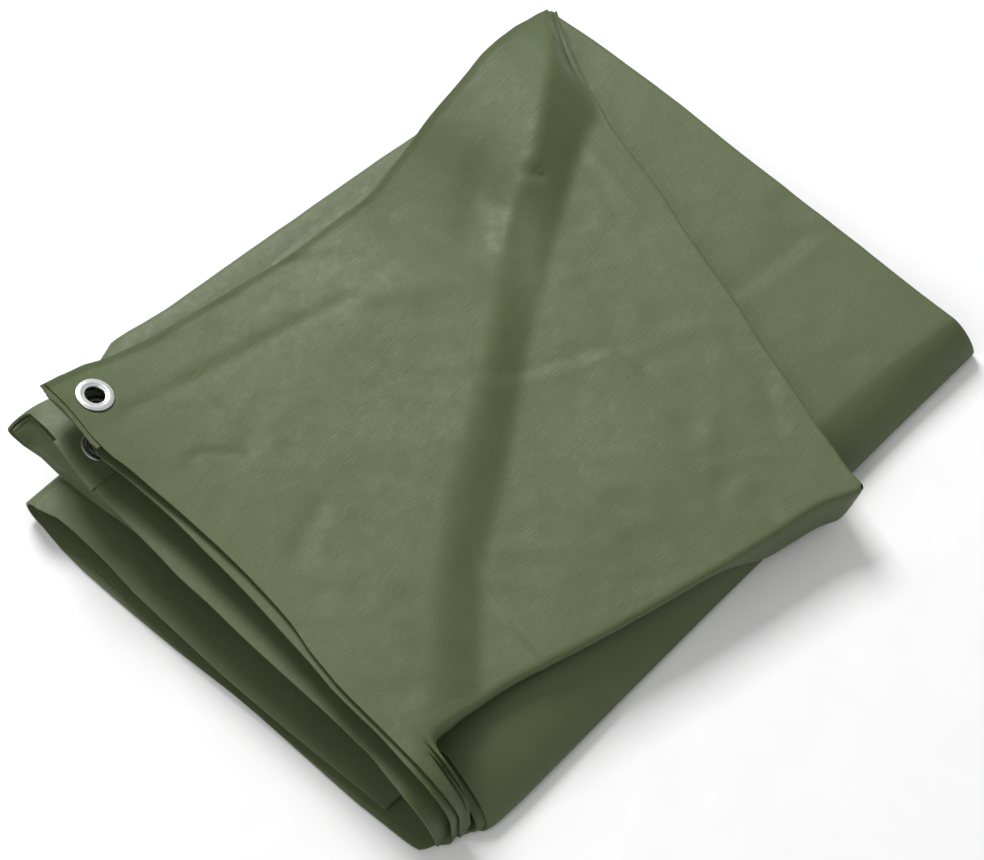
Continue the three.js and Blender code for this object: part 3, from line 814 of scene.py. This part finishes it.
def make_cloth():
    """The sheet, and its flat size in metres."""
    outer, inner = cloth_columns()
    columns, rows = outer.shape[:2]
    quads, triangles = grid_polygons(columns, [thin for _, _, _, thin in STATIONS])
    outside, inside = outer.reshape(-1, 3).copy(), inner.reshape(-1, 3).copy()
    quads = cut_holes(outside, inside, quads, columns, rows)
    mesh, used = thick_mesh("tarp_sheet", outside, inside, quads + triangles)
    # Place on the flat sheet, in metres: across from one hem to the other, and along the strip
    middle = (outer + inner) / 2
    across = lengths_along(middle[:, MEASURED_STATION]) * MM
    along = lengths_along(middle[MEASURED_COLUMN]) * MM
    flat = np.stack(np.broadcast_arrays(across[:, None], along[None, :], 0.0), axis=-1).reshape(-1, 3)
    flat = np.concatenate([flat, flat])[used]
    place = mesh.attributes.new("flat_place", "FLOAT_VECTOR", "POINT")
    place.data.foreach_set("vector", flat.astype(np.float32).ravel())
    return add_object("tarp_sheet", mesh), (across[-1], along[-1])


def shade(mesh, degrees):
    mesh.shade_smooth()
    mesh.set_sharp_from_angle(angle=math.radians(degrees))


# Radii of the turned eyelets: the bore, the outside of the barrel and the flange
BORE = 5.7
BARREL = 6.2
FLANGE = 11.35
EYELET_SIDES = 64
SEAT = 1.0  # from the middle of the cloth to the underside of the flange


def eyelet_frame(eyelet):
    """The eyelet's place, and the directions into the stack, along the hem and up."""
    run, ply, x, y = (eyelet[key] for key in ("run", "ply", "x", "y"))
    reach = 10

    def point(dx, dy):
        return Vector((x + dx, y + dy, ply_height(run, ply, x + dx, y + dy)))

    inward = (point(reach, 0) - point(-reach, 0)).normalized()
    up = inward.cross(point(0, reach) - point(0, -reach)).normalized()
    return point(0, 0), inward, up.cross(inward), up


def lathe(name, profile, eyelet):
    """Turns a closed profile of (radius, height) about the eyelet's axis."""
    centre, inward, along, up = eyelet_frame(eyelet)
    if eyelet["face"] < 0:
        along, up = -along, -up
    points, polygons = [], []
    for side in range(EYELET_SIDES):
        angle = math.tau * side / EYELET_SIDES
        outward = inward * math.cos(angle) + along * math.sin(angle)
        for radius, height in profile:
            points.append(tuple((centre + outward * radius + up * height) * MM))
    count = len(profile)
    for side in range(EYELET_SIDES):
        here, there = side * count, (side + 1) % EYELET_SIDES * count
        for step in range(count):
            after = (step + 1) % count
            polygons.append((here + step, there + step, there + after, here + after))
    mesh = bpy.data.meshes.new(name)
    mesh.from_pydata(points, [], polygons)
    mesh.update()
    shade(mesh, 40)
    return add_object(name, mesh)


def arc(centre, radii, start, end, steps):
    """Points (radius, height) round part of an ellipse, between two angles in degrees."""
    angles = [math.radians(lerp(start, end, step / steps)) for step in range(steps + 1)]
    return [(centre[0] + radii[0] * math.cos(a), centre[1] + radii[1] * math.sin(a)) for a in angles]


def eyelet_profile():
    """A crowned flange, a rounded mouth, the barrel, and the lip rolled over the washer."""
    flange = arc((FLANGE - 0.45, SEAT + 0.1), (0.45, 0.45), -60, 70, 5)
    crown = [(10.2, SEAT + 0.95), (9.2, SEAT + 1.15), (8.2, SEAT + 1.15), (7.4, SEAT + 0.95)]
    mouth = arc((BORE + 1.2, SEAT - 0.55), (1.2, 1.3), 75, 180, 6)
    lip = arc((BORE + 0.85, -SEAT - 0.75), (0.85, 0.55), 180, 340, 8)
    outside = [(BARREL, -SEAT - 0.5), (BARREL, SEAT - 0.1), (FLANGE - 0.9, SEAT - 0.2)]
    return flange + crown + mouth + lip + outside


def washer_profile():
    """A flat ring with a rounded edge."""
    rim = arc((10.35, -SEAT - 0.2), (0.25, 0.25), 90, -90, 5)
    return [(BARREL + 0.1, -SEAT + 0.05)] + rim + [(7.6, -SEAT - 0.5), (BARREL + 0.1, -SEAT - 0.45)]


# Patches: reach along the hem towards +Y and towards -Y and into the stack, and how far each
# stands proud of the hem. Two are doubled sheets under their ply, one wraps round its hem.
PATCHES = [
    dict(eyelet=0, after=25.0, before=27.0, reach=22.0, proud=3.0, wraps=False),
    dict(eyelet=1, after=29.0, before=14.0, reach=22.0, proud=0.4, wraps=False),
    dict(eyelet=2, after=19.0, before=19.0, reach=22.0, proud=3.0, wraps=True),
]
PATCH_ALONG = 21
PATCH_ACROSS = 13
PATCH_TURN = 7
FLAT_THICK = 1.1
FLAT_OFFSET = -1.1
FLAT_INSET = 1.2
WRAPPED_THICK = 0.45
WRAPPED_OFFSET = 0.8
WRAPPED_INSET = 1.0


def hem_at(eyelet, y):
    """X of the hem of the eyelet's ply."""
    share = (y - SECOND_RUN_Y) / SECOND_RUN_LENGTH
    if eyelet["run"] == 0:
        share = (TOP_RUN_Y - y) / TOP_RUN_LENGTH
    return RUNS[eyelet["run"]]["outer_hem" if eyelet["ply"] > 0 else "inner_hem"](share)


def patch_stations(patch):
    """Stations of a patch from its inner end to the hem: (share of its reach, height over the
    ply). A wrapped one goes on round the hem as (nothing, angle), and back under the ply."""
    shares = np.linspace(1, 0, PATCH_ACROSS)
    if not patch["wraps"]:
        return [(share, FLAT_OFFSET) for share in shares]
    angles = np.radians(np.linspace(90, -90, PATCH_TURN)[1:-1])
    above = [(share, WRAPPED_OFFSET) for share in shares]
    below = [(share, -WRAPPED_OFFSET) for share in shares[::-1]]
    return above + [(None, angle) for angle in angles] + below


def patch_point(patch, eyelet, station, y, side):
    """X, Y and height over the ply of a point on one side of a patch."""
    share, height = station
    inner = eyelet["x"] + patch["reach"]
    edge = hem_at(eyelet, y) - patch["proud"]
    if not patch["wraps"]:
        x = lerp(edge, inner, share)
        low_y = eyelet["y"] - patch["before"]
        room = float(EDGES[0](x)) - FLAT_INSET - low_y
        shorter = min(1.0, room / (patch["before"] + patch["after"]))
        return x, low_y + (y - low_y) * shorter, height + side * FLAT_THICK
    edge = edge + WRAPPED_INSET
    if share is None:
        radius = WRAPPED_OFFSET + side * WRAPPED_THICK
        return edge - radius * math.cos(height), y, radius * math.sin(height)
    return lerp(edge, inner, share), y, height + side * math.copysign(WRAPPED_THICK, height)


def make_patch(patch):
    eyelet = EYELETS[patch["eyelet"]]
    name = "patch_" + eyelet["name"]
    stations = patch_stations(patch)
    faces = []
    for side in (0.5, -0.5):
        points = []
        for station in stations:
            for y in np.linspace(-patch["before"], patch["after"], PATCH_ALONG) + eyelet["y"]:
                x, moved_y, height = patch_point(patch, eyelet, station, y, side)
                ply = ply_height(eyelet["run"], eyelet["ply"], x, moved_y)
                points.append((x, moved_y, float(ply) + height))
        faces.append(np.array(points))
    quads, _ = grid_polygons(len(stations), [False] * PATCH_ALONG)
    quads = np.array(quads)[:, ::-1]
    gone = near_hole(faces[0], quads, eyelet)
    round_rim(faces, quads, gone, eyelet)
    mesh, _ = thick_mesh(name, *faces, quads[~gone].tolist())
    shade(mesh, 35)
    return add_object(name, mesh)


# Materials
class Nodes:
    """Short calls for building a node tree."""

    def __init__(self, name):
        self.material = bpy.data.materials.new(name)
        self.material.use_nodes = True
        self.tree = self.material.node_tree
        self.shader = self.tree.nodes["Principled BSDF"]

    def add(self, kind, inputs=(), **settings):
        node = self.tree.nodes.new("ShaderNode" + kind)
        for key, value in settings.items():
            setattr(node, key, value)
        for key, value in dict(inputs).items():
            self.set(node.inputs[key], value)
        return node

    def set(self, socket, value):
        if isinstance(value, bpy.types.NodeSocket):
            self.tree.links.new(value, socket)
        else:
            socket.default_value = value

    def math(self, operation, a, b):
        return self.add("Math", {0: a, 1: b}, operation=operation).outputs[0]

    def mapping(self, vector, scale=(1, 1, 1), rotation=(0, 0, 0)):
        return self.add("Mapping", {"Vector": vector, "Scale": scale, "Rotation": rotation}).outputs[0]

    def noise(self, vector, scale, detail=3.0, roughness=0.55, distortion=0.0):
        settings = {"Vector": vector, "Scale": scale, "Detail": detail, "Roughness": roughness,
                    "Distortion": distortion}
        return self.add("TexNoise", settings).outputs["Fac"]

    def spread(self, value, low, high, to_low=0.0, to_high=1.0):
        settings = {"Value": value, "From Min": low, "From Max": high, "To Min": to_low,
                    "To Max": to_high}
        return self.add("MapRange", settings, clamp=True).outputs["Result"]

    def ramp(self, value, stops):
        node = self.add("ValToRGB", {"Fac": value})
        elements = node.color_ramp.elements
        while len(elements) < len(stops):
            elements.new(0.5)
        for element, (place, colour) in zip(elements, stops):
            element.position = place
            element.color = (*colour, 1)
        return node.outputs["Color"]

    def mix(self, share, a, b):
        node = self.add("Mix", data_type="RGBA")
        self.set(node.inputs["Factor"], share)
        self.set(node.inputs["A"], a)
        self.set(node.inputs["B"], b)
        return node.outputs["Result"]


OLIVE = (0.072, 0.093, 0.037)
OLIVE_DARK = (0.064, 0.083, 0.032)
OLIVE_LIGHT = (0.079, 0.101, 0.042)
# Painted shade: the metal's colour where it sits deep between the plies, standing in for the shade and
# dark reflections there
METAL_PAINTED_SHADE = (0.10, 0.105, 0.09, 1)
METAL_BRIGHT = [(0.3, (0.88, 0.89, 0.9)), (0.7, (0.93, 0.93, 0.94))]
FLOOR_GREY = [(0.3, (0.78, 0.78, 0.78)), (0.7, (0.8, 0.8, 0.8))]
WEAVE_SCALE = 130.0  # ribs 2.4 mm apart
GRAIN_STRETCH = (0.28, 1.0, 1.0)  # the coating's grain is drawn out along X
GRAIN_TURN = math.radians(47)  # its noise is turned off the axes

# Heights of the relief's layers beside the grain's, which is one
RIB_RELIEF = 0.16
PORE_RELIEF = 0.12
WRINKLE_RELIEF = 2.2


def cloth_material(name, on_sheet):
    """Coated woven tape: satin, with the weave's ribs, fine grain and rubbed lighter patches."""
    nodes = Nodes(name)
    place = nodes.add("TexCoord").outputs["Object"]
    flat = nodes.add("Attribute", attribute_name="flat_place").outputs["Vector"] if on_sheet else place
    cloudy = nodes.noise(place, scale=14.0, detail=4.0)
    blotchy = nodes.noise(place, scale=70.0, detail=4.0, roughness=0.6)
    base = nodes.ramp(cloudy, [(0.3, OLIVE_DARK), (0.52, OLIVE), (0.75, OLIVE_LIGHT)])
    rubbed = nodes.spread(blotchy, low=0.3, high=0.7, to_high=0.5)
    colour = nodes.mix(rubbed, base, (*OLIVE_LIGHT, 1))
    stretched = nodes.mapping(place, scale=GRAIN_STRETCH, rotation=(0, 0, GRAIN_TURN))
    grain = nodes.noise(stretched, scale=520.0, detail=4.0, roughness=0.6)
    colour = nodes.mix(nodes.spread(grain, low=0.35, high=0.65, to_high=0.16), colour, (*OLIVE_DARK, 1))
    nodes.set(nodes.shader.inputs["Base Color"], colour)
    worn = nodes.noise(place, scale=160.0, detail=4.0)
    roughness = nodes.spread(worn, low=0.3, high=0.7, to_low=0.52, to_high=0.62)
    nodes.set(nodes.shader.inputs["Roughness"], roughness)
    nodes.shader.inputs["Specular IOR Level"].default_value = 0.36

    tapes = {"Vector": flat, "Scale": WEAVE_SCALE, "Distortion": 0.6, "Detail": 1.0}
    warp = nodes.add("TexWave", tapes, wave_type="BANDS", bands_direction="X").outputs["Fac"]
    weft = nodes.add("TexWave", tapes, wave_type="BANDS", bands_direction="Y").outputs["Fac"]
    patchy = nodes.noise(place, scale=22.0, detail=2.0)
    ribs_show = nodes.spread(patchy, low=0.45, high=0.62, to_low=0.1)
    ribs = nodes.math("MULTIPLY", nodes.math("ADD", warp, weft), ribs_show)
    pores = nodes.noise(place, scale=1500.0, detail=2.0)
    wrinkle = nodes.noise(place, scale=120.0, detail=5.0, roughness=0.62, distortion=0.4)
    height = grain
    for layer, relief in ((ribs, RIB_RELIEF), (pores, PORE_RELIEF), (wrinkle, WRINKLE_RELIEF)):
        height = nodes.math("ADD", height, nodes.math("MULTIPLY", layer, relief))
    bump = nodes.add("Bump", {"Height": height, "Strength": 0.3, "Distance": 0.0004})
    nodes.set(nodes.shader.inputs["Normal"], bump.outputs["Normal"])
    return nodes.material


def metal_material():
    """Bright pressed aluminium, faintly scratched, with painted shade where it sits deep between the
    plies.
    """
    nodes = Nodes("eyelet_metal")
    place = nodes.add("TexCoord").outputs["Object"]
    bright = nodes.ramp(nodes.noise(place, scale=400.0), METAL_BRIGHT)
    # Painted shade: ambient occlusion darkens the metal's colour in recesses, in place of the shade and
    # dark reflections that fall there
    open_sky = nodes.add("AmbientOcclusion", {"Distance": 0.03}, samples=8).outputs["AO"]
    colour = nodes.mix(nodes.spread(open_sky, low=0.6, high=0.95), METAL_PAINTED_SHADE, bright)
    nodes.set(nodes.shader.inputs["Base Color"], colour)
    nodes.shader.inputs["Metallic"].default_value = 1.0
    worn = nodes.noise(place, scale=900.0, detail=4.0)
    roughness = nodes.spread(worn, low=0.3, high=0.7, to_low=0.26, to_high=0.34)
    nodes.set(nodes.shader.inputs["Roughness"], roughness)
    scratches = nodes.noise(nodes.mapping(place, scale=(1, 12, 1)), scale=900.0, detail=4.0)
    bump = nodes.add("Bump", {"Height": scratches, "Strength": 0.06, "Distance": 0.0001})
    nodes.set(nodes.shader.inputs["Normal"], bump.outputs["Normal"])
    return nodes.material


def floor_material():
    nodes = Nodes("studio_floor")
    place = nodes.add("TexCoord").outputs["Object"]
    grey = nodes.ramp(nodes.noise(place, scale=30.0, detail=4.0), FLOOR_GREY)
    nodes.set(nodes.shader.inputs["Base Color"], grey)
    nodes.shader.inputs["Roughness"].default_value = 0.9
    nodes.shader.inputs["Specular IOR Level"].default_value = 0.1
    return nodes.material


tarp, flat_size = make_cloth()
shade(tarp.data, 50)
tarp.data.materials.append(cloth_material("tarp_cloth", True))
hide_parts("tarp_cloth")
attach(tarp, "root")

patch_cloth = cloth_material("eyelet_tab", False)
metal = metal_material()
patches, rings = [], []
for patch in PATCHES:
    piece = make_patch(patch)
    piece.data.materials.append(patch_cloth)
    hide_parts("eyelet_tab_" + EYELETS[patch["eyelet"]]["name"])
    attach(piece, "root")
    patches.append(piece)
for eyelet in EYELETS:
    for kind, profile in (("eyelet", eyelet_profile()), ("washer", washer_profile())):
        piece = lathe(f"{kind}_ring_{eyelet['name']}", profile, eyelet)
        piece.data.materials.append(metal)
        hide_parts(f"{kind}_{eyelet['name']}")
        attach(piece, "root")
        rings.append(piece)

# Studio, in metres: a pale floor, a soft key light from behind the bundle, a weak fill from the
# hem side, and pale surroundings
FLOOR = 6.0
FLOOR_BELOW = 0.0002
SURROUNDINGS = 0.5
corners = [(-FLOOR, -FLOOR, 0), (FLOOR, -FLOOR, 0), (FLOOR, FLOOR, 0), (-FLOOR, FLOOR, 0)]
floor_mesh = bpy.data.meshes.new("floor")
floor_mesh.from_pydata(corners, [], [(0, 1, 2, 3)])
floor_mesh.materials.append(floor_material())
floor = add_object("floor", floor_mesh)
floor.location.z = -FLOOR_BELOW

world = bpy.data.worlds.new("studio")
bpy.context.scene.world = world
world.use_nodes = True
background = world.node_tree.nodes["Background"]
background.inputs["Color"].default_value = (1.0, 1.0, 1.0, 1)
background.inputs["Strength"].default_value = SURROUNDINGS


def area_light(name, place, size, power):
    """A square light that is aimed at the origin."""
    light = bpy.data.lights.new(name, "AREA")
    light.shape = "RECTANGLE"
    light.size = size
    light.size_y = size
    light.energy = power
    lamp = add_object(name, light)
    lamp.location = place
    lamp.rotation_mode = "QUATERNION"
    lamp.rotation_quaternion = Vector(place).to_track_quat("Z", "Y")


area_light("key", place=(0.66, 1.55, 1.75), size=0.9, power=65.0)
area_light("fill", place=(-1.3, -0.1, 1.3), size=1.0, power=6.0)

# Camera: 62 degrees above the floor, on the hem side and towards the near end
ELEVATION = math.radians(62.0)
HEADING = math.radians(47.1)
DISTANCE = 1.7
PIXEL = 0.00058  # metres that a pixel spans at that distance
IMAGE_WIDTH = 984
SENSOR_WIDTH = 36.0
FOCAL_PIXELS = DISTANCE / PIXEL
TARGET = Vector((-0.0265, -0.017, 0.025))
TARGET_BELOW_CENTRE = 25.0  # pixels
across = Vector((math.cos(HEADING), -math.sin(HEADING), 0))
ahead = Vector((math.sin(HEADING) * math.cos(ELEVATION), math.cos(HEADING) * math.cos(ELEVATION),
                -math.sin(ELEVATION)))
upward = across.cross(ahead)
camera_data = bpy.data.cameras.new("camera")
camera_data.sensor_width = SENSOR_WIDTH
camera_data.lens = FOCAL_PIXELS / IMAGE_WIDTH * SENSOR_WIDTH
camera_data.clip_start = 0.1
camera_data.clip_end = 30.0
camera = add_object("camera", camera_data)
camera.location = TARGET - ahead * DISTANCE
aim = (ahead + upward * (TARGET_BELOW_CENTRE / FOCAL_PIXELS)).normalized()
camera.rotation_mode = "QUATERNION"
camera.rotation_quaternion = (-aim).to_track_quat("Z", "Y")
bpy.context.scene.camera = camera
bpy.context.scene.view_settings.view_transform = "Standard"
